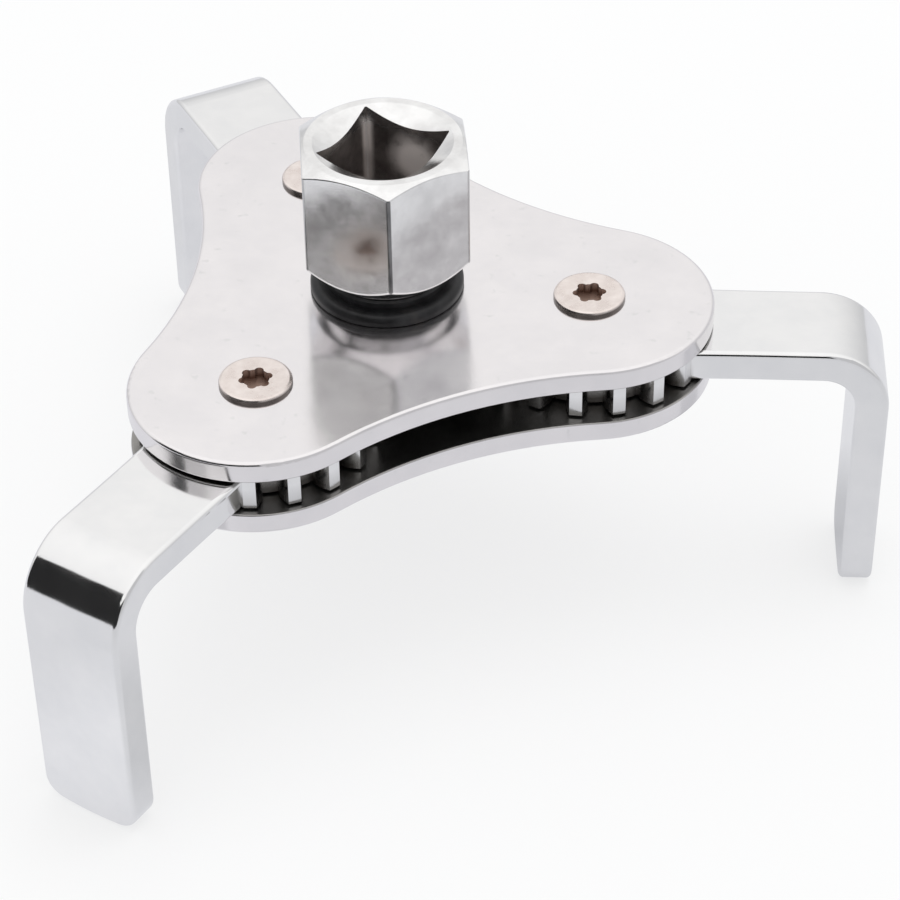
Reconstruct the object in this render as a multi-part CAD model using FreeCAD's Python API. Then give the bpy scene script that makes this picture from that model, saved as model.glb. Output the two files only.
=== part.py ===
"""Three-jaw, geared, two-way oil filter wrench.

Two tri-lobed plates carry three L-shaped jaws.  The inner end of every jaw is
a toothed sector that meshes with one central drive gear, so turning the drive
either way swings all three jaws in together.

Units are millimetres.  The origin is on the drive axis, level with the tips of
the jaws; +Z points up, out of the square drive.  The right-hand pivot lies on
+X; the other two follow at 120 and 240 degrees.
"""
import FreeCAD, Part
import math
import os

V = FreeCAD.Vector
os.makedirs("parts", exist_ok=True)

# ------------------------------------------------------------------ dimensions
PIVOT_R = 27.75            # pivot circle radius
PIVOT_ANGLES = (0.0, 120.0, 240.0)
REST_SWING = 4.5           # every jaw stands this far round from radial

# stack of levels, from the jaw tips up
ARM_TOP = 41.4             # jaw arm, upper face
BAR_T = 4.6                # thickness of the jaw bar
WASHER_T = 0.30            # friction washers
GAP_SIDE = 0.35            # room above and below the arm
PLATE_T = 3.15             # plate thickness
ARM_BOT = ARM_TOP - BAR_T
LOW_TOP = ARM_BOT - GAP_SIDE
LOW_BOT = LOW_TOP - PLATE_T
UP_BOT = ARM_TOP + GAP_SIDE
UP_TOP = UP_BOT + PLATE_T

# plates
LOBE_R = 17.0              # lobe radius about each pivot
WAIST_C = 87.13            # centre distance of the hollow side arcs
WAIST_R = 60.10            # radius of the hollow side arcs
RIM_R = 0.60               # rounded outer rim
RIM_INNER = 0.30           # small break on the inner rim

# gears
MODULE = 2 * PIVOT_R / (17 + 15)
JAW_TEETH = 17
SUN_TEETH = 15
PRESSURE = math.radians(20.0)
ADDENDUM = 0.68 * MODULE
DEDENDUM = 1.05 * MODULE
THINNING = 0.07            # tooth thickness taken off at the pitch line

# jaws
BAR_W = 15.0               # bar width
REACH = 41.05              # pivot to the outer face of the blade
BEND_OUT = 9.2             # outside radius of the bend
BEND_IN = BEND_OUT - BAR_T
TIP_R = 40.0               # slightly crowned tip
TIP_CORNER = 3.2           # corner blend between the crown and the sides
BAR_EDGE = 0.7             # rolled edges of the bar
FLARE_X = 24.0             # where the arm starts to flare into the sector
JAW_BORE = 5.56

# pivots
SLEEVE_R = 5.50
POST_R = 4.00
POST_HEAD_R = 5.1
POST_HEAD_H = 1.3
SCREW_R = 2.50
SCREW_HEAD_R = 4.88
SCREW_HEAD_H = 0.75
STAR_R = 2.30
STAR_DEPTH = 1.3
WASHER_R = 9.4

# drive gear and its shaft
NECK_R = 8.60              # upper journal and neck
NECK_TOP = UP_TOP + 3.00
UP_BORE = NECK_R + 0.07
COLLAR_R = 10.50           # black ring on the neck, just above the plate
COLLAR_BOT = UP_TOP + 0.08
COLLAR_TOP = UP_TOP + 1.90
COLLAR_EDGE = 1.10
LOW_JOURNAL = 9.00
LOW_BORE = LOW_JOURNAL + 0.07
SQ38_F = 9.66              # 3/8 inch female square, across flats
SQ38_M = 9.50              # 3/8 inch male square, across flats

# hexagon adaptor
HEX_AF = 22.0
BOSS_R = 8.55              # turned boss between the hexagon and the shaft
BOSS_BOT = NECK_TOP + 0.04
HEX_BOT = UP_TOP + 4.59
HEX_TOP = UP_TOP + 23.10
HEX_VERTEX = -78.58        # direction of one corner
HEX_CH_TOP = 10.55         # circle of the top chamfer
HEX_CH_BOT = 10.0          # circle of the bottom chamfer
HEX_EDGE = 0.45            # upright edges
HEX_ROLL_BOT = 0.60        # where the faces meet the bottom chamfer
HEX_ROLL_TOP = 0.30        # where the faces meet the top chamfer
SQ12_F = 13.0              # 1/2 inch female square, across flats
SQ_CORNER = 23.41          # direction of one corner of the square
SQ12_DEPTH = 14.0
CSK_R = 9.4                # lead-in at the mouth
CSK_TAN = math.tan(math.radians(30.0))
STUB_LEN = 10.5            # male square, down from the hexagon's lower end
BALL_R = 1.55
BALL_OUT = 0.42            # how far the ball stands out of the flat
BALL_Z = UP_TOP - 1.05
BALL_SIDE = SQ_CORNER - 45.0   # direction of the flat that holds the ball


# --------------------------------------------------------------------- helpers
def rot(shape, deg, centre=V(0, 0, 0)):
    s = shape.copy()
    s.rotate(centre, V(0, 0, 1), deg)
    return s


def pol(r, deg, z=0.0):
    a = math.radians(deg)
    return V(r * math.cos(a), r * math.sin(a), z)


def cyl(r, z0, z1, at=(0.0, 0.0)):
    return Part.makeCylinder(r, z1 - z0, V(at[0], at[1], z0), V(0, 0, 1))


def ring(r0, r1, z0, z1, at=(0.0, 0.0)):
    return cyl(r1, z0, z1, at).cut(cyl(r0, z0 - 1, z1 + 1, at))


def lathe(points):
    """Solid of revolution about Z from (radius, z) points."""
    pts = [V(r, 0, z) for r, z in points]
    wire = Part.makePolygon(pts + [pts[0]])
    return Part.Face(wire).revolve(V(0, 0, 0), V(0, 0, 1), 360)


def square(af, z0, z1, corner_deg, round_r=0.0):
    half = af / 2.0
    box = Part.makeBox(af, af, z1 - z0, V(-half, -half, z0))
    if round_r:
        edges = [e for e in box.Edges
                 if abs(e.Vertexes[0].Z - e.Vertexes[-1].Z) > 1e-6]
        box = box.makeFillet(round_r, edges)
    return rot(box, corner_deg - 45.0)


def save(name, shape):
    shape = shape.removeSplitter()
    if not shape.isValid():
        shape.fix(1e-6, 1e-6, 1e-4)
    assert shape.isValid(), name
    shape.exportStep("parts/%s.step" % name)
    print("%-26s solids %d  faces %d  volume %.1f"
          % (name, len(shape.Solids), len(shape.Faces), shape.Volume))


def edge_mid(e):
    return e.valueAt((e.FirstParameter + e.LastParameter) / 2.0)


# ----------------------------------------------------------------- gear flanks
def flank(teeth, centre_deg, side, r_tip, r_root):
    """Points of one flank, root to tip, as (radius, angle in degrees)."""
    rp = MODULE * teeth / 2.0
    rb = rp * math.cos(PRESSURE)
    half = (math.pi * MODULE / 2.0 - THINNING) / (2.0 * rp)
    inv_p = math.tan(PRESSURE) - PRESSURE
    r0 = max(rb, r_root) + 1e-4
    out = []
    for i in range(7):
        r = r0 + (r_tip - r0) * i / 6.0
        a = math.acos(min(1.0, rb / r))
        ang = half + inv_p - (math.tan(a) - a)
        out.append((r, centre_deg + side * math.degrees(ang)))
    if r_root < r0 - 0.05:
        out.insert(0, (r_root, out[0][1]))
    return out


def spline(points):
    c = Part.BSplineCurve()
    c.interpolate([pol(r, a) for r, a in points])
    return c.toShape()


def arc(p0, pm, p1):
    return Part.Arc(p0, pm, p1).toShape()


def flank_edges(points, radial):
    """Edges root to tip; the part below the base circle is a straight line."""
    if radial:
        return [Part.makeLine(pol(*points[0]), pol(*points[1])),
                spline(points[1:])]
    return [spline(points)]


def toothed_path(teeth, centres, r_tip, r_root, closed):
    """Edges running round the teeth in order of increasing angle."""
    edges = []
    first_root = None
    prev_root = None
    rb = MODULE * teeth / 2.0 * math.cos(PRESSURE)
    radial = r_root < rb - 0.05
    for c in centres:
        a = flank(teeth, c, -1, r_tip, r_root)
        b = flank(teeth, c, +1, r_tip, r_root)
        if first_root is None:
            first_root = a[0]
        if prev_root is not None:
            mid = (prev_root[1] + a[0][1]) / 2.0
            edges.append(arc(pol(*prev_root), pol(r_root, mid), pol(*a[0])))
        edges += flank_edges(a, radial)
        edges.append(arc(pol(*a[-1]), pol(r_tip, c), pol(*b[-1])))
        edges += flank_edges(b, radial)
        prev_root = b[0]
    if closed:
        mid = (prev_root[1] + first_root[1] + 360.0) / 2.0
        edges.append(arc(pol(*prev_root), pol(r_root, mid), pol(*first_root)))
    return edges


def extrude(edges, z0, z1):
    wire = Part.Wire(Part.__sortEdges__(edges))
    face = Part.Face(wire)
    face.translate(V(0, 0, z0))
    return face.extrude(V(0, 0, z1 - z0))


# ---------------------------------------------------------------------- plates
def plate_outline():
    edges = []
    c = pol(WAIST_C, 60.0)
    lobe = V(PIVOT_R, 0, 0)
    d = (c - lobe)
    d.normalize()
    t_hi = lobe + d * LOBE_R
    t_lo = V(t_hi.x, -t_hi.y, 0)
    nxt = Part.Vertex(t_lo)
    nxt.rotate(V(0, 0, 0), V(0, 0, 1), 120)
    lobe_arc = arc(t_lo, V(PIVOT_R + LOBE_R, 0, 0), t_hi)
    side_arc = arc(t_hi, pol(WAIST_C - WAIST_R, 60.0), nxt.Point)
    for a in PIVOT_ANGLES:
        edges += [rot(lobe_arc, a), rot(side_arc, a)]
    return edges


def plate(z0, z1, outer_z, bore):
    body = extrude(plate_outline(), z0, z1)
    inner_z = z0 if abs(outer_z - z1) < 1e-6 else z1
    for z, r in ((outer_z, RIM_R), (inner_z, RIM_INNER)):
        rim = [e for e in body.Edges
               if all(abs(v.Z - z) < 1e-6 for v in e.Vertexes)
               and abs(edge_mid(e).z - z) < 1e-6]
        body = body.makeFillet(r, rim)
    body = body.cut(cyl(bore, z0 - 1, z1 + 1))
    for a in PIVOT_ANGLES:
        p = pol(PIVOT_R, a)
        body = body.cut(cyl(POST_R + 0.05, z0 - 1, z1 + 1, (p.x, p.y)))
    return body


upper_plate = plate(UP_BOT, UP_TOP, UP_TOP, UP_BORE)
lower_plate = plate(LOW_BOT, LOW_TOP, LOW_BOT, LOW_BORE)
save("upper_plate", upper_plate)
save("lower_plate", lower_plate)


# ------------------------------------------------------------------------ jaws
def jaw():
    """One jaw with its pivot on the Z axis and its arm along +X."""
    rp = MODULE * JAW_TEETH / 2.0
    r_tip = rp + ADDENDUM
    r_root = rp - DEDENDUM
    pitch = 360.0 / JAW_TEETH
    centres = [180.0 + k * pitch for k in range(-7, 8)]
    edges = toothed_path(JAW_TEETH, centres, r_tip, r_root, False)
    # drop the two flanks that would face the arm: the outermost teeth are
    # shoulders that run out into the arm
    a = flank(JAW_TEETH, centres[0], -1, r_tip, r_root)
    b = flank(JAW_TEETH, centres[-1], +1, r_tip, r_root)
    rb = rp * math.cos(PRESSURE)
    n = 2 if r_root < rb - 0.05 else 1
    edges = edges[n:-n]
    p_hi = pol(*a[-1])
    p_lo = pol(*b[-1])
    h = BAR_W / 2.0
    join = REACH - BEND_OUT
    edges.append(Part.makeLine(p_hi, p_lo))
    arm = extrude(edges, ARM_BOT, ARM_TOP)
    # the bar: side view, then plan, then the crowned tip
    x0 = p_hi.x
    wide = p_hi.y + 1.0
    zc = ARM_TOP - BEND_OUT
    k = math.sqrt(0.5)
    side = [
        Part.makeLine(V(x0, -wide, ARM_BOT), V(x0, -wide, ARM_TOP)),
        Part.makeLine(V(x0, -wide, ARM_TOP), V(join, -wide, ARM_TOP)),
        arc(V(join, -wide, ARM_TOP),
            V(join + BEND_OUT * k, -wide, zc + BEND_OUT * k),
            V(REACH, -wide, zc)),
        Part.makeLine(V(REACH, -wide, zc), V(REACH, -wide, 0)),
        Part.makeLine(V(REACH, -wide, 0), V(REACH - BAR_T, -wide, 0)),
        Part.makeLine(V(REACH - BAR_T, -wide, 0), V(REACH - BAR_T, -wide, zc)),
        arc(V(REACH - BAR_T, -wide, zc),
            V(join + BEND_IN * k, -wide, zc + BEND_IN * k),
            V(join, -wide, ARM_BOT)),
        Part.makeLine(V(join, -wide, ARM_BOT), V(x0, -wide, ARM_BOT)),
    ]
    bar = Part.Face(Part.Wire(Part.__sortEdges__(side)))
    bar = bar.extrude(V(0, 2 * wide, 0))
    # plan: straight sides that flare into the outermost teeth
    dx, dy = FLARE_X - p_hi.x, p_hi.y - h
    flare_r = (dx * dx + dy * dy) / (2.0 * dy)
    half_turn = math.asin(dx / flare_r) / 2.0
    mx = FLARE_X - flare_r * math.sin(half_turn)
    my = h + flare_r * (1.0 - math.cos(half_turn))
    far = REACH + 2.0
    plan = [
        arc(V(p_hi.x, p_hi.y, -2), V(mx, my, -2), V(FLARE_X, h, -2)),
        Part.makeLine(V(FLARE_X, h, -2), V(far, h, -2)),
        Part.makeLine(V(far, h, -2), V(far, -h, -2)),
        Part.makeLine(V(far, -h, -2), V(FLARE_X, -h, -2)),
        arc(V(FLARE_X, -h, -2), V(mx, -my, -2), V(p_lo.x, p_lo.y, -2)),
        Part.makeLine(V(p_lo.x, p_lo.y, -2), V(p_hi.x, p_hi.y, -2)),
    ]
    plan = Part.Face(Part.Wire(Part.__sortEdges__(plan)))
    bar = bar.common(plan.extrude(V(0, 0, ARM_TOP + 6)))
    # crowned tip with blended corners
    cy = h - TIP_CORNER
    cz = TIP_R - math.sqrt((TIP_R - TIP_CORNER) ** 2 - cy ** 2)
    d = TIP_R / (TIP_R - TIP_CORNER)
    ty, tz = cy * d, TIP_R - (TIP_R - cz) * d
    am = (math.atan2(tz - cz, ty - cy)) / 2.0
    ay, az = cy + TIP_CORNER * math.cos(am), cz + TIP_CORNER * math.sin(am)
    out = h + 3.0
    front = [
        arc(V(0, h, cz), V(0, ay, az), V(0, ty, tz)),
        arc(V(0, ty, tz), V(0, 0, 0), V(0, -ty, tz)),
        arc(V(0, -ty, tz), V(0, -ay, az), V(0, -h, cz)),
        Part.makeLine(V(0, -h, cz), V(0, -out, cz)),
        Part.makeLine(V(0, -out, cz), V(0, -out, -5)),
        Part.makeLine(V(0, -out, -5), V(0, out, -5)),
        Part.makeLine(V(0, out, -5), V(0, out, cz)),
        Part.makeLine(V(0, out, cz), V(0, h, cz)),
    ]
    front = Part.Face(Part.Wire(Part.__sortEdges__(front)))
    bar = bar.cut(front.extrude(V(REACH + 5, 0, 0)))
    # round every sharp edge of the bar except those of its inner end
    chosen = []
    for e in bar.Edges:
        if all(abs(v.X - x0) < 1e-5 for v in e.Vertexes):
            continue
        m = edge_mid(e)
        around = bar.ancestorsOfType(e, Part.Face)
        if len(around) != 2:
            continue
        n = [f.normalAt(*f.Surface.parameter(m)) for f in around]
        if n[0].getAngle(n[1]) > math.radians(25):
            chosen.append(e)
    rolled = bar.makeFillet(BAR_EDGE, chosen)
    print("jaw edges rounded:", len(chosen), rolled.isValid())
    if rolled.isValid():
        bar = rolled
    body = arm.fuse(bar).removeSplitter()
    return body.cut(cyl(JAW_BORE, ARM_BOT - 1, ARM_TOP + 1))


jaw_shape = jaw()
for name, a in (("leg_right", 0.0), ("leg_rear_left", 120.0),
                ("leg_front_left", 240.0)):
    leg = rot(jaw_shape, a + REST_SWING)
    p = pol(PIVOT_R, a)
    leg.translate(p)
    save(name, leg)


# ------------------------------------------------------------------ drive gear
def drive_gear():
    rp = MODULE * SUN_TEETH / 2.0
    pitch = 360.0 / SUN_TEETH
    gap0 = -REST_SWING * JAW_TEETH / SUN_TEETH
    centres = [gap0 + pitch / 2.0 + k * pitch for k in range(SUN_TEETH)]
    edges = toothed_path(SUN_TEETH, centres, rp + ADDENDUM, rp - DEDENDUM, True)
    gear = extrude(edges, ARM_BOT, ARM_TOP)
    shaft = lathe([(0, LOW_BOT - 0.3), (LOW_JOURNAL - 0.4, LOW_BOT - 0.3),
                   (LOW_JOURNAL, LOW_BOT + 0.1), (LOW_JOURNAL, ARM_BOT + 0.5),
                   (NECK_R, ARM_BOT + 0.5), (NECK_R, NECK_TOP - 0.3),
                   (NECK_R - 0.3, NECK_TOP), (0, NECK_TOP)])
    body = gear.fuse(shaft).removeSplitter()
    body = body.cut(square(SQ38_F, LOW_BOT - 2, NECK_TOP + 1, SQ_CORNER, 0.35))
    # lead-in at both mouths
    for z, s in ((NECK_TOP, 1), (LOW_BOT - 0.3, -1)):
        cone = Part.makeCone(SQ38_F / 2.0 + 0.05, SQ38_F / 2.0 + 1.65, 1.0,
                             V(0, 0, z - s * 0.9), V(0, 0, s))
        body = body.cut(cone)
    # track for the adaptor's detent ball, open at the top
    d = SQ38_M / 2.0 + BALL_OUT - BALL_R
    groove_r = BALL_R + 0.12
    p = pol(d, BALL_SIDE)
    track = cyl(groove_r, BALL_Z, NECK_TOP + 1, (p.x, p.y))
    track = track.fuse(Part.makeSphere(groove_r, V(p.x, p.y, BALL_Z)))
    return body.cut(track)


save("drive_gear", drive_gear())

# black ring on the neck, with a rounded upper edge
e, k45 = COLLAR_EDGE, math.sqrt(0.5)
q = [V(NECK_R, 0, COLLAR_BOT), V(COLLAR_R - 0.15, 0, COLLAR_BOT),
     V(COLLAR_R, 0, COLLAR_BOT + 0.15), V(COLLAR_R, 0, COLLAR_TOP - e),
     V(COLLAR_R - e, 0, COLLAR_TOP), V(NECK_R, 0, COLLAR_TOP)]
profile = [Part.makeLine(q[0], q[1]), Part.makeLine(q[1], q[2]),
           Part.makeLine(q[2], q[3]),
           arc(q[3], V(COLLAR_R - e + e * k45, 0, COLLAR_TOP - e + e * k45), q[4]),
           Part.makeLine(q[4], q[5]), Part.makeLine(q[5], q[0])]
profile = Part.Face(Part.Wire(Part.__sortEdges__(profile)))
save("shaft_collar", profile.revolve(V(0, 0, 0), V(0, 0, 1), 360))


# --------------------------------------------------------------- hexagon drive
def roll_face_ends(body):
    """Round the ends of the six faces where they meet the two chamfers."""
    for low, radii in ((True, (HEX_ROLL_BOT, 0.5, 0.4)),
                       (False, (HEX_ROLL_TOP, 0.25, 0.2))):
        chosen = []
        for e in body.Edges:
            m = edge_mid(e)
            zs = [v.Z for v in e.Vertexes] + [m.z]
            end = HEX_BOT if low else HEX_TOP
            if all(1e-3 < abs(z - end) < 4.5 for z in zs):
                chosen.append(e)
        for r in radii:
            try:
                done = body.makeFillet(r, chosen)
            except Exception:
                continue
            if done.isValid() and len(done.Solids) == 1 \
                    and 0 < body.Volume - done.Volume < 40:
                print("hexagon", "lower" if low else "upper", "ends", r,
                      round(body.Volume - done.Volume, 2))
                body = done
                break
    return body


def drive_adaptor():
    rv = HEX_AF / math.sqrt(3.0)
    pts = [pol(rv, HEX_VERTEX + 60 * k, HEX_BOT) for k in range(6)]
    hexa = Part.Face(Part.makePolygon(pts + [pts[0]]))
    hexa = hexa.extrude(V(0, 0, HEX_TOP - HEX_BOT))
    hexa = hexa.makeFillet(HEX_EDGE, [
        e for e in hexa.Edges
        if abs(e.Vertexes[0].Z - e.Vertexes[-1].Z) > 1e-6])
    tan30 = math.tan(math.radians(30.0))
    r_big = rv + 1.0
    trim = lathe([(0, HEX_BOT), (HEX_CH_BOT, HEX_BOT),
                  (r_big, HEX_BOT + (r_big - HEX_CH_BOT)),
                  (r_big, HEX_TOP - (r_big - HEX_CH_TOP) * tan30),
                  (HEX_CH_TOP, HEX_TOP), (0, HEX_TOP)])
    body = hexa.common(trim).removeSplitter()
    body = roll_face_ends(body)
    # round boss that stands on the shaft
    body = body.fuse(lathe([(0, BOSS_BOT), (BOSS_R - 0.25, BOSS_BOT),
                            (BOSS_R, BOSS_BOT + 0.25), (BOSS_R, HEX_BOT + 0.5),
                            (0, HEX_BOT + 0.5)])).removeSplitter()
    # male square below
    stub = square(SQ38_M, HEX_BOT - STUB_LEN, HEX_BOT + 0.5, SQ_CORNER, 0.5)
    nose = lathe([(0, HEX_BOT - STUB_LEN),
                  (SQ38_M / 2.0 - 0.1, HEX_BOT - STUB_LEN),
                  (SQ38_M / 2.0 + 2.4, HEX_BOT - STUB_LEN + 1.4),
                  (SQ38_M / 2.0 + 2.4, HEX_BOT + 1), (0, HEX_BOT + 1)])
    body = body.fuse(stub.common(nose)).removeSplitter()
    # female square above, with its lead-in
    body = body.cut(square(SQ12_F, HEX_TOP - SQ12_DEPTH, HEX_TOP + 1,
                           SQ_CORNER, 0.30))
    depth = CSK_R * CSK_TAN
    body = body.cut(Part.makeCone(0, CSK_R + 1 / CSK_TAN, depth + 1,
                                  V(0, 0, HEX_TOP - depth), V(0, 0, 1)))
    # blind hole for the detent ball and its spring
    out = pol(1, BALL_SIDE)
    start = out * (-2.6) + V(0, 0, BALL_Z)
    body = body.cut(Part.makeCylinder(BALL_R + 0.06, 12.0, start, out))
    return body


save("drive_adaptor", drive_adaptor())

ball_c = SQ38_M / 2.0 + BALL_OUT - BALL_R
save("adaptor_detent_ball",
     Part.makeSphere(BALL_R, pol(ball_c, BALL_SIDE, BALL_Z)))


def detent_spring():
    """Close-wound spring behind the ball, as one ribbed sleeve."""
    length = ball_c - math.sqrt(BALL_R ** 2 - 0.8 ** 2) - 0.03 + 2.6 - 0.06
    coils = 5
    pitch = length / coils
    outer = []
    for i in range(coils):
        z = i * pitch
        outer += [(1.12, z + pitch * 0.14), (1.36, z + pitch * 0.34),
                  (1.36, z + pitch * 0.66), (1.12, z + pitch * 0.86)]
    solid = lathe([(0.80, 0.0), (1.12, 0.0)] + outer +
                  [(1.12, length), (0.80, length)])
    solid.rotate(V(0, 0, 0), V(0, 1, 0), 90)
    solid.translate(V(-2.6 + 0.06, 0, 0))
    solid.rotate(V(0, 0, 0), V(0, 0, 1), BALL_SIDE)
    solid.translate(V(0, 0, BALL_Z))
    return solid


save("adaptor_detent_spring", detent_spring())


# ---------------------------------------------------------------------- pivots
def star_cutter(z_top, depth, at, turn):
    core = cyl(STAR_R * 0.80, z_top - depth, z_top + 1)
    for k in range(6):
        p = pol(STAR_R - 0.62, turn + 60 * k)
        core = core.fuse(cyl(0.62, z_top - depth, z_top + 1, (p.x, p.y)))
    core = core.removeSplitter()
    core.translate(V(at.x, at.y, 0))
    return core


def pivot_screw(at, turn):
    top = UP_TOP + SCREW_HEAD_H
    body = lathe([(0, LOW_BOT + 2.0), (SCREW_R - 0.4, LOW_BOT + 2.0),
                  (SCREW_R, LOW_BOT + 2.4), (SCREW_R, UP_TOP),
                  (SCREW_HEAD_R, UP_TOP), (SCREW_HEAD_R, top - 0.35),
                  (SCREW_HEAD_R - 0.12, top - 0.12),
                  (SCREW_HEAD_R - 0.40, top), (0, top)])
    body.translate(V(at.x, at.y, 0))
    return body.cut(star_cutter(top, STAR_DEPTH, at, turn))


def pivot_post(at):
    bot = LOW_BOT - POST_HEAD_H
    body = lathe([(0, bot), (POST_HEAD_R - 0.4, bot),
                  (POST_HEAD_R, bot + 0.35), (POST_HEAD_R, LOW_BOT),
                  (POST_R, LOW_BOT), (POST_R, UP_TOP - 0.3),
                  (0, UP_TOP - 0.3)])
    body = body.cut(cyl(SCREW_R + 0.04, LOW_BOT + 1.2, UP_TOP + 1))
    body.translate(V(at.x, at.y, 0))
    return body


for tag, a, turn in (("right", 0.0, 12.0), ("rear_left", 120.0, 47.0),
                     ("front_left", 240.0, 24.0)):
    p = pol(PIVOT_R, a)
    at = (p.x, p.y)
    save("pivot_screw_" + tag, pivot_screw(p, turn))
    save("pivot_post_" + tag, pivot_post(p))
    save("spacer_sleeve_" + tag, ring(POST_R + 0.05, SLEEVE_R, LOW_TOP, UP_BOT, at))
    save("washer_upper_" + tag,
         ring(SLEEVE_R + 0.1, WASHER_R, UP_BOT - WASHER_T, UP_BOT, at))
    save("washer_lower_" + tag,
         ring(SLEEVE_R + 0.1, WASHER_R, LOW_TOP, LOW_TOP + WASHER_T, at))

save("thrust_washer_upper",
     ring(NECK_R + 0.3, 13.2, UP_BOT - WASHER_T, UP_BOT))
save("thrust_washer_lower",
     ring(LOW_JOURNAL + 0.3, 13.2, LOW_TOP, LOW_TOP + WASHER_T))
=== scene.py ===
import math

import bpy
from mathutils import Matrix, Vector


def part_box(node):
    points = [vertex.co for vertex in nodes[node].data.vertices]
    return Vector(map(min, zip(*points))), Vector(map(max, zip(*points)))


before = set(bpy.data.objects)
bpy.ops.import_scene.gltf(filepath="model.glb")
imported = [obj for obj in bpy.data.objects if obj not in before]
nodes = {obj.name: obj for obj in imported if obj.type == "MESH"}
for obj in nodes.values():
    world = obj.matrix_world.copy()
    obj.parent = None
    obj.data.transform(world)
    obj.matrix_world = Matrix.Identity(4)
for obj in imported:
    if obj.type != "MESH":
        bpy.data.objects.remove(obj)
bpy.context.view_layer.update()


PIVOT_R = 0.02775
PIVOTS = {"right": 0.0, "rear_left": 120.0, "front_left": 240.0}
UP_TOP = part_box("upper_plate")[1].z
UP_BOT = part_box("upper_plate")[0].z
LOW_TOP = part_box("lower_plate")[1].z
HEX_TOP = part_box("drive_adaptor")[1].z


# ------------------------------------------------------------------- materials
class Mat:
    """A small helper for building node materials."""

    def __init__(self, name):
        self.m = bpy.data.materials.new(name)
        self.m.use_nodes = True
        self.t = self.m.node_tree
        self.bsdf = next(n for n in self.t.nodes if n.type == "BSDF_PRINCIPLED")
        self.co = self.add("ShaderNodeTexCoord").outputs["Object"]

    def add(self, kind, **kw):
        n = self.t.nodes.new(kind)
        for k, v in kw.items():
            setattr(n, k, v)
        return n

    def link(self, a, b):
        self.t.links.new(a, b)

    def set(self, **kw):
        for k, v in kw.items():
            self.bsdf.inputs[k.replace("_", " ")].default_value = v

    def noise(self, scale, detail=3.0, rough=0.5, stretch=None, distortion=0.0):
        n = self.add("ShaderNodeTexNoise")
        n.inputs["Scale"].default_value = scale
        n.inputs["Detail"].default_value = detail
        n.inputs["Roughness"].default_value = rough
        n.inputs["Distortion"].default_value = distortion
        src = self.co
        if stretch:
            mp = self.add("ShaderNodeMapping")
            mp.inputs["Scale"].default_value = stretch
            self.link(src, mp.inputs["Vector"])
            src = mp.outputs["Vector"]
        self.link(src, n.inputs["Vector"])
        return n.outputs["Fac"]

    def ramp(self, fac, lo, hi, a, b):
        """Map fac from lo..hi to a..b, clamped."""
        n = self.add("ShaderNodeMapRange")
        n.clamp = True
        for k, v in (("From Min", lo), ("From Max", hi), ("To Min", a), ("To Max", b)):
            n.inputs[k].default_value = v
        self.link(fac, n.inputs["Value"])
        return n.outputs["Result"]

    def mix(self, fac, a, b):
        n = self.add("ShaderNodeMix", data_type="RGBA")
        self.feed(fac, n.inputs["Factor"])
        self.feed(a, n.inputs[6])
        self.feed(b, n.inputs[7])
        return n.outputs[2]

    def math(self, op, a, b=0.0, clamp=False):
        n = self.add("ShaderNodeMath", operation=op)
        n.use_clamp = clamp
        self.feed(a, n.inputs[0])
        self.feed(b, n.inputs[1])
        return n.outputs[0]

    def feed(self, v, socket):
        if isinstance(v, bpy.types.NodeSocket):
            self.link(v, socket)
        elif isinstance(v, (tuple, list)):
            socket.default_value = (*v[:3], 1.0)
        else:
            socket.default_value = v

    def bump(self, height, distance, strength=1.0, normal=None):
        n = self.add("ShaderNodeBump")
        n.inputs["Distance"].default_value = distance
        n.inputs["Strength"].default_value = strength
        self.link(height, n.inputs["Height"])
        if normal is not None:
            self.link(normal, n.inputs["Normal"])
        return n.outputs["Normal"]

    def xyz(self):
        s = self.add("ShaderNodeSeparateXYZ")
        self.link(self.co, s.inputs[0])
        return s.outputs["X"], s.outputs["Y"], s.outputs["Z"]


def radius(m, x, y, cx=0.0, cy=0.0):
    """Distance from an upright axis."""
    dx = m.math("SUBTRACT", x, cx)
    dy = m.math("SUBTRACT", y, cy)
    return m.math("SQRT", m.math("ADD", m.math("MULTIPLY", dx, dx), m.math("MULTIPLY", dy, dy)))


def spot(m, x, y, z, centre, near, far):
    """1 inside a soft ball round centre, 0 outside it."""
    d = None
    for c, v in zip((x, y, z), centre):
        if c is None:
            continue
        k = m.math("SUBTRACT", c, v)
        k = m.math("MULTIPLY", k, k)
        d = k if d is None else m.math("ADD", d, k)
    return m.ramp(m.math("SQRT", d), near, far, 1.0, 0.0)


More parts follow.
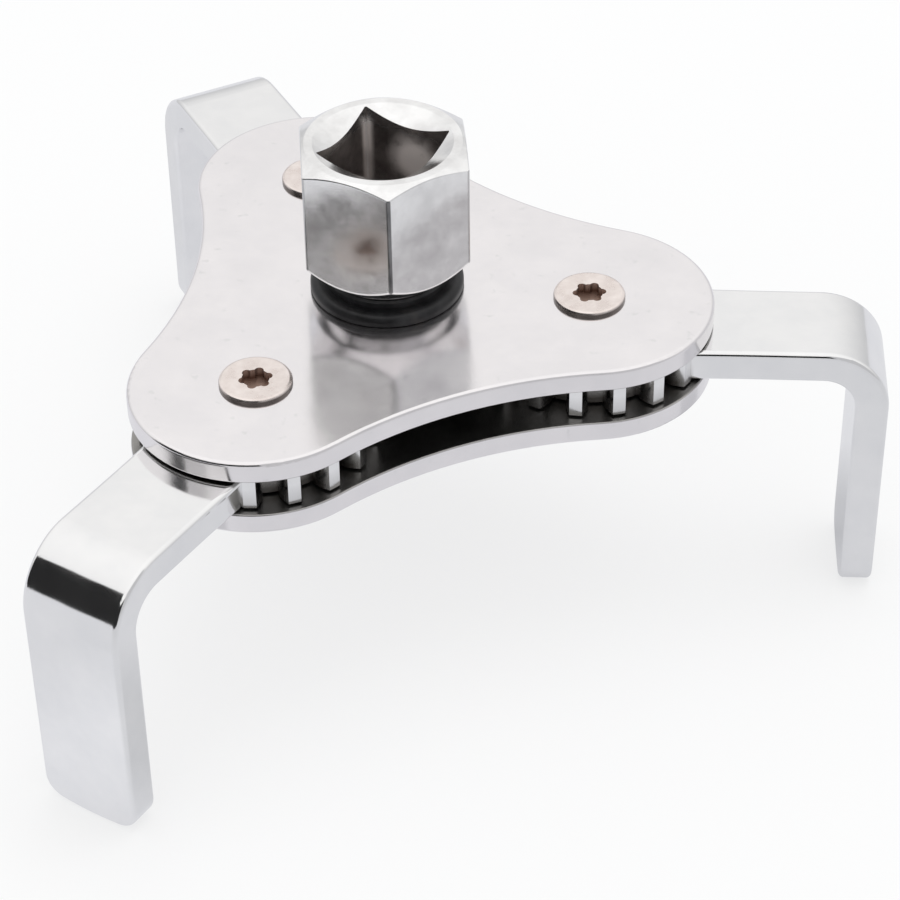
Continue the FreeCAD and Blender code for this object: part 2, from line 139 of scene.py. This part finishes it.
def chrome_plate(name):
    """Bright plating with a faint orange peel and a milky haze in blotches."""
    m = Mat(name)
    broad = m.noise(60.0, 2.0, 0.5)
    fine = m.noise(1300.0, 3.0, 0.6)
    haze = m.noise(150.0, 4.0, 0.6)
    speck = m.noise(700.0, 2.0, 0.5)
    tint = m.mix(m.ramp(haze, 0.35, 0.70, 0.0, 1.0), (0.832, 0.812, 0.826), (0.884, 0.860, 0.870))
    tint = m.mix(m.ramp(speck, 0.66, 0.76, 0.0, 0.35), tint, (0.70, 0.70, 0.70))
    # painted shade: the two faces that look into the gap between the plates are darkened, and made
    # rougher
    x, y, z = m.xyz()
    lo = m.ramp(z, LOW_TOP - 0.00025, LOW_TOP - 0.00005, 0.0, 1.0)
    hi = m.ramp(z, UP_BOT + 0.00005, UP_BOT + 0.00025, 1.0, 0.0)
    inside = m.math("MULTIPLY", lo, hi)
    color = m.mix(inside, tint, m.mix(haze, (0.24, 0.235, 0.225), (0.42, 0.41, 0.40)))
    m.link(color, m.bsdf.inputs["Base Color"])
    rough = m.ramp(haze, 0.30, 0.75, 0.12, 0.21)
    m.link(m.math("ADD", rough, m.math("MULTIPLY", inside, 0.15)), m.bsdf.inputs["Roughness"])
    n = m.bump(broad, 0.00016)
    n = m.bump(fine, 0.0000025, normal=n)
    m.link(n, m.bsdf.inputs["Normal"])
    m.set(Metallic=1.0)
    return m.m


def chrome_jaw(name, pivot_deg):
    """Brighter plating; painted shade low in the tooth gaps."""
    m = Mat(name)
    broad = m.noise(75.0, 2.0, 0.5)
    fine = m.noise(1300.0, 3.0, 0.6)
    haze = m.noise(140.0, 4.0, 0.62)
    tint = m.mix(m.ramp(haze, 0.35, 0.70, 0.0, 1.0), (0.840, 0.842, 0.850), (0.890, 0.888, 0.890))
    a = math.radians(pivot_deg)
    x, y, z = m.xyz()
    r = radius(m, x, y, PIVOT_R * math.cos(a), PIVOT_R * math.sin(a))
    # painted shade: the gear teeth are darkened low down, next to the lower plate
    gap = m.math("MULTIPLY", m.ramp(r, 0.0150, 0.0163, 1.0, 0.0),
                 m.ramp(z, LOW_TOP + 0.0010, LOW_TOP + 0.0034, 1.0, 0.0))
    root_shade = m.math("MULTIPLY", gap, m.ramp(haze, 0.25, 0.55, 0.55, 1.0))
    color = m.mix(root_shade, tint, (0.16, 0.15, 0.14))
    m.link(color, m.bsdf.inputs["Base Color"])
    rough = m.ramp(haze, 0.30, 0.75, 0.07, 0.14)
    m.link(m.math("ADD", rough, m.math("MULTIPLY", root_shade, 0.25)), m.bsdf.inputs["Roughness"])
    n = m.bump(broad, 0.00011)
    n = m.bump(fine, 0.0000020, normal=n)
    m.link(n, m.bsdf.inputs["Normal"])
    m.set(Metallic=1.0)
    return m.m


def satin_hex(name):
    """Duller plating, blotched by handling; warmer inside the square hole, with painted shade and
    painted highlights there.
    """
    m = Mat(name)
    blotch = m.noise(230.0, 4.0, 0.6)
    broad = m.noise(90.0, 2.0, 0.5)
    fine = m.noise(2600.0, 3.0, 0.6)
    x, y, z = m.xyz()
    r = radius(m, x, y)
    tint = m.mix(m.ramp(blotch, 0.34, 0.66, 0.0, 1.0), (0.78, 0.775, 0.775), (0.94, 0.94, 0.94))
    # the walls of the square hole, below its lead-in
    inner = m.math("MULTIPLY", m.ramp(r, 0.0090, 0.0093, 1.0, 0.0),
                   m.ramp(z, HEX_TOP - 0.0030, HEX_TOP - 0.0016, 1.0, 0.0))
    inner = m.math("MULTIPLY", inner, m.ramp(z, HEX_TOP - 0.0150, HEX_TOP - 0.0142, 0.0, 1.0))
    # painted shade darkens the walls, in random blotches; a painted highlight brightens the corners
    # and a patch on one wall
    hole_shade = m.mix(m.ramp(blotch, 0.35, 0.65, 0.0, 1.0), (0.30, 0.28, 0.275), (0.50, 0.47, 0.46))
    lit_wall_patch = spot(m, x, y, z, (0.0033, 0.0057, HEX_TOP - 0.0066), 0.0020, 0.0047)
    lit_wall_patch = m.math("MULTIPLY", lit_wall_patch, m.ramp(blotch, 0.36, 0.50, 0.35, 1.0))
    corner = m.ramp(r, 0.0083, 0.0088, 0.0, 1.0)
    bright = m.math("MAXIMUM", lit_wall_patch, m.math("MULTIPLY", corner, m.ramp(broad, 0.35, 0.55, 0.5, 1.0)))
    color = m.mix(inner, tint, m.mix(bright, hole_shade, (0.78, 0.72, 0.69)))
    # painted shade: black round the foot of the boss, under the hexagon
    foot = m.math("MULTIPLY", m.ramp(r, 0.0088, 0.0090, 1.0, 0.0),
                  m.ramp(z, UP_TOP + 0.0034, UP_TOP + 0.0037, 1.0, 0.0))
    foot = m.math("MULTIPLY", foot, m.ramp(z, UP_TOP + 0.0010, UP_TOP + 0.0020, 0.0, 1.0))
    color = m.mix(foot, color, (0.022, 0.021, 0.021))
    # painted dark reflection: the upright edges are darker, one of them most
    edge = m.math("MULTIPLY", m.ramp(r, 0.01251, 0.01257, 0.0, 1.0),
                  m.ramp(blotch, 0.30, 0.60, 1.0, 0.8))
    most = m.ramp(y, -0.0112, -0.0100, 1.0, 0.0)
    color = m.mix(edge, color, m.mix(most, (0.50, 0.50, 0.505), (0.10, 0.10, 0.103)))
    m.link(color, m.bsdf.inputs["Base Color"])
    rough = m.ramp(blotch, 0.30, 0.70, 0.13, 0.24)
    m.link(m.math("ADD", rough, m.math("MULTIPLY", inner, 0.16)), m.bsdf.inputs["Roughness"])
    # the painted highlight patch is made partly diffuse, so that it catches more light
    lit_patch_diffuse = m.math("MULTIPLY", inner, m.math("MULTIPLY", bright, 0.75))
    m.link(m.math("SUBTRACT", 1.0, lit_patch_diffuse), m.bsdf.inputs["Metallic"])
    n = m.bump(broad, 0.00012)
    n = m.bump(fine, 0.0000020, normal=n)
    m.link(n, m.bsdf.inputs["Normal"])
    return m.m


def black_oxide(name):
    """Blackened steel with an oily sheen, worn brown-grey in patches."""
    m = Mat(name)
    blotch = m.noise(420.0, 4.0, 0.6)
    rub = m.noise(160.0, 3.0, 0.6)
    fine = m.noise(2600.0, 3.0, 0.6)
    color = m.mix(m.ramp(blotch, 0.35, 0.7, 0.0, 1.0), (0.010, 0.010, 0.011), (0.028, 0.028, 0.030))
    color = m.mix(m.ramp(rub, 0.62, 0.80, 0.0, 0.5), color, (0.070, 0.062, 0.056))
    m.link(color, m.bsdf.inputs["Base Color"])
    m.link(m.ramp(blotch, 0.3, 0.7, 0.30, 0.46), m.bsdf.inputs["Roughness"])
    m.link(m.bump(fine, 0.000005), m.bsdf.inputs["Normal"])
    m.set(Metallic=0.35)
    return m.m


def nickel_screw(name, pivot_deg, top_z=None):
    """Warm satin nickel; painted brown shade only down in the star recess."""
    m = Mat(name)
    a = math.radians(pivot_deg)
    blotch = m.noise(520.0, 3.0, 0.6)
    fine = m.noise(2600.0, 3.0, 0.6)
    color = m.mix(m.ramp(blotch, 0.35, 0.7, 0.0, 1.0), (0.77, 0.690, 0.655), (0.92, 0.845, 0.810))
    if top_z is not None:
        x, y, z = m.xyz()
        r = radius(m, x, y, PIVOT_R * math.cos(a), PIVOT_R * math.sin(a))
        # painted shade: the star recess is coloured dark brown
        pit = m.math("MULTIPLY", m.ramp(r, 0.0025, 0.0027, 1.0, 0.0),
                     m.ramp(z, top_z - 0.00120, top_z - 0.00020, 1.0, 0.0))
        color = m.mix(pit, color, (0.27, 0.185, 0.150))
        # a painted dark line of shade round the foot of the head
        foot = m.math("MULTIPLY", m.ramp(r, 0.00455, 0.00480, 0.0, 1.0),
                      m.ramp(z, top_z - 0.00040, top_z - 0.00018, 1.0, 0.0))
        color = m.mix(foot, color, (0.16, 0.14, 0.13))
    m.link(color, m.bsdf.inputs["Base Color"])
    m.link(m.ramp(blotch, 0.3, 0.7, 0.24, 0.36), m.bsdf.inputs["Roughness"])
    m.link(m.bump(fine, 0.000004), m.bsdf.inputs["Normal"])
    m.set(Metallic=1.0)
    return m.m


def plain_steel(name):
    m = Mat(name)
    blotch = m.noise(600.0, 3.0, 0.6)
    color = m.mix(m.ramp(blotch, 0.35, 0.7, 0.0, 1.0), (0.26, 0.255, 0.25), (0.42, 0.415, 0.41))
    m.link(color, m.bsdf.inputs["Base Color"])
    m.link(m.ramp(blotch, 0.3, 0.7, 0.28, 0.42), m.bsdf.inputs["Roughness"])
    m.link(m.bump(blotch, 0.000008), m.bsdf.inputs["Normal"])
    m.set(Metallic=1.0)
    return m.m


def give(name, mat):
    o = nodes[name]
    o.data.materials.clear()
    o.data.materials.append(mat)


plate_mat = chrome_plate("chrome_plate_mat")
give("upper_plate", plate_mat)
give("lower_plate", plate_mat)
black = black_oxide("black_oxide_mat")
give("drive_gear", black)
give("shaft_collar", black)
give("drive_adaptor", satin_hex("satin_chrome_mat"))
screw_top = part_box("pivot_screw_right")[1].z
post_mat = nickel_screw("nickel_post_mat", 0.0)
steel = plain_steel("plain_steel_mat")
for tag, deg in PIVOTS.items():
    give("leg_" + tag, chrome_jaw("chrome_jaw_%s_mat" % tag, deg))
    give("pivot_screw_" + tag, nickel_screw("nickel_screw_%s_mat" % tag, deg, screw_top))
    give("pivot_post_" + tag, post_mat)
    for p in ("spacer_sleeve_", "washer_upper_", "washer_lower_"):
        give(p + tag, steel)
for n in ("thrust_washer_upper", "thrust_washer_lower", "adaptor_detent_ball",
          "adaptor_detent_spring"):
    give(n, steel)


# ----------------------------------------------------------------------- stage
def staged(name, verts, faces, mat):
    me = bpy.data.meshes.new(name)
    me.from_pydata([tuple(v) for v in verts], [], faces)
    o = bpy.data.objects.new(name, me)
    bpy.context.scene.collection.objects.link(o)
    me.materials.append(mat)
    return o


# a softly lit white table; its mirror image in the metal is a painted reflection, greyer, most of all
# towards the front
fl = Mat("floor_mat")
cloud = fl.noise(6.0, 2.0, 0.5)
white = fl.mix(fl.ramp(cloud, 0.3, 0.7, 0.0, 1.0), (0.297, 0.300, 0.303), (0.303, 0.306, 0.309))
fx, fy, fz = fl.xyz()
side = fl.math("ADD", fl.math("MULTIPLY", fx, -0.60), fl.math("MULTIPLY", fy, 0.80))
back = fl.ramp(side, -0.13, 0.02, 0.0, 1.0)
mirrored = fl.mix(back, (0.525, 0.530, 0.545), (0.630, 0.635, 0.660))
# painted reflection: lighter and darker spots in the floor's mirror image, round chosen points
for cx, cy, near, far, tone in ((-0.040, -0.067, 0.006, 0.024, (0.700, 0.705, 0.730)),
                                (-0.006, -0.056, 0.006, 0.018, (0.490, 0.495, 0.510)),
                                (0.063, 0.011, 0.004, 0.018, (0.420, 0.425, 0.445)),
                                (-0.070, 0.076, 0.015, 0.040, (0.585, 0.590, 0.610))):
    mirrored = fl.mix(spot(fl, fx, fy, None, (cx, cy, 0.0), near, far), mirrored, tone)
glossy = fl.add("ShaderNodeLightPath").outputs["Is Glossy Ray"]
fl.link(fl.mix(glossy, white, (0.15, 0.15, 0.155)), fl.bsdf.inputs["Base Color"])
fl.link(fl.mix(glossy, (0.652, 0.652, 0.652), mirrored), fl.bsdf.inputs["Emission Color"])
fl.bsdf.inputs["Emission Strength"].default_value = 1.0
fl.set(Roughness=0.8)
fl.bsdf.inputs["Specular IOR Level"].default_value = 0.0
# the floor shows from above only, so that the underside can be looked at too
clear = fl.add("ShaderNodeBsdfTransparent")
both = fl.add("ShaderNodeMixShader")
under = fl.add("ShaderNodeNewGeometry").outputs["Backfacing"]
fl.link(under, both.inputs[0])
fl.link(fl.bsdf.outputs[0], both.inputs[1])
fl.link(clear.outputs[0], both.inputs[2])
out = next(n for n in fl.t.nodes if n.type == "OUTPUT_MATERIAL")
fl.link(both.outputs[0], out.inputs["Surface"])
S = 4.0
staged("floor", [(-S, -S, 0), (S, -S, 0), (S, S, 0), (-S, S, 0)], [(0, 1, 2, 3)], fl.m)


def glow(name, value):
    m = bpy.data.materials.new(name)
    m.use_nodes = True
    t = m.node_tree
    t.nodes.clear()
    e = t.nodes.new("ShaderNodeEmission")
    e.inputs["Color"].default_value = (value, value, value * 1.02, 1)
    e.inputs["Strength"].default_value = 1.0
    out = t.nodes.new("ShaderNodeOutputMaterial")
    t.links.new(e.outputs[0], out.inputs[0])
    return m


def strip(name, tops, value, bottom=0.0, radius_m=1.5):
    """A curved studio flag round the object, seen only in reflections. tops
    gives its upper edge as (azimuth, elevation) pairs in degrees."""
    verts, faces = [], []
    pts = []
    for (a0, e0), (a1, e1) in zip(tops, tops[1:]):
        n = max(1, int(abs(a1 - a0) / 6.0))
        pts += [(a0 + (a1 - a0) * i / n, e0 + (e1 - e0) * i / n) for i in range(n)]
    pts.append(tops[-1])
    for az, el in pts:
        a = math.radians(az)
        c, s = radius_m * math.cos(a), radius_m * math.sin(a)
        verts += [(c, s, 0.04 + radius_m * math.tan(math.radians(bottom))),
                  (c, s, 0.04 + radius_m * math.tan(math.radians(el)))]
    for i in range(len(pts) - 1):
        faces.append((2 * i, 2 * i + 2, 2 * i + 3, 2 * i + 1))
    o = staged(name, verts, faces, glow(name + "_mat", value))
    o.visible_camera = False
    o.visible_diffuse = False
    o.visible_shadow = False
    o.visible_transmission = False
    return o


strip("flag_black", [(190, 36), (198, 40), (204, 44), (208, 43.5), (215, 35.6), (232, 35.0),
                     (255, 34.8), (264, 37.5), (288, 37.5)], 0.02, bottom=-1.0)
strip("flag_upper", [(215, 41.0), (233, 41.0)], 0.02, bottom=38.9)
strip("flag_grey", [(288, 46), (352, 46)], 0.58, bottom=-1.0)

world = bpy.data.worlds.new("studio")
bpy.context.scene.world = world
world.use_nodes = True
wt = world.node_tree
bg = wt.nodes["Background"]
tc = wt.nodes.new("ShaderNodeTexCoord")
sep = wt.nodes.new("ShaderNodeSeparateXYZ")
wt.links.new(tc.outputs["Generated"], sep.inputs[0])
sky = wt.nodes.new("ShaderNodeValToRGB")
stops = sky.color_ramp.elements
stops[0].position, stops[0].color = 0.0, (0.560, 0.562, 0.570, 1)
stops[1].position, stops[1].color = 0.55, (0.860, 0.855, 0.848, 1)
top = stops.new(0.95)
top.color = (0.985, 0.980, 0.972, 1)
wt.links.new(sep.outputs["Z"], sky.inputs["Fac"])
wt.links.new(sky.outputs["Color"], bg.inputs["Color"])
bg.inputs["Strength"].default_value = 1.10


def area(name, pos, target, size, power):
    d = bpy.data.lights.new(name, "AREA")
    d.shape = "SQUARE"
    d.size = size
    d.energy = power
    o = bpy.data.objects.new(name, d)
    bpy.context.scene.collection.objects.link(o)
    o.location = pos
    o.rotation_euler = (Vector(target) - Vector(pos)).to_track_quat("-Z", "Y").to_euler()
    return o


area("key_overhead", (0.10, 0.15, 0.95), (0, 0, 0.03), 0.6, 1.6).visible_glossy = False

bpy.context.scene.view_settings.view_transform = "Standard"

# ---------------------------------------------------------------------- camera
AZ, EL, ROLL = math.radians(8.0096), math.radians(39.0079), math.radians(-0.8529)
K = 0.001018
DIST = 367.3225 * K
TURN = math.radians(3.7182)
tx, ty = 10.7559 * K, -35.1662 * K
target = Vector((tx * math.cos(TURN) - ty * math.sin(TURN),
                 tx * math.sin(TURN) + ty * math.cos(TURN), UP_TOP))
back = Vector((math.sin(AZ) * math.cos(EL), -math.cos(AZ) * math.cos(EL), math.sin(EL)))
right = (-back).cross(Vector((0, 0, 1))).normalized()
up = right.cross(-back)
r2 = right * math.cos(ROLL) + up * math.sin(ROLL)
u2 = up * math.cos(ROLL) - right * math.sin(ROLL)
cam_data = bpy.data.cameras.new("camera")
cam_data.sensor_width = 36.0
cam_data.lens = 2939.1 * 36.0 / 900.0
cam_data.clip_start = 0.01
cam_data.clip_end = 50.0
cam = bpy.data.objects.new("camera", cam_data)
bpy.context.scene.collection.objects.link(cam)
m = Matrix((r2, u2, back)).transposed().to_4x4()
m.translation = target + back * DIST
cam.matrix_world = m
bpy.context.scene.camera = cam
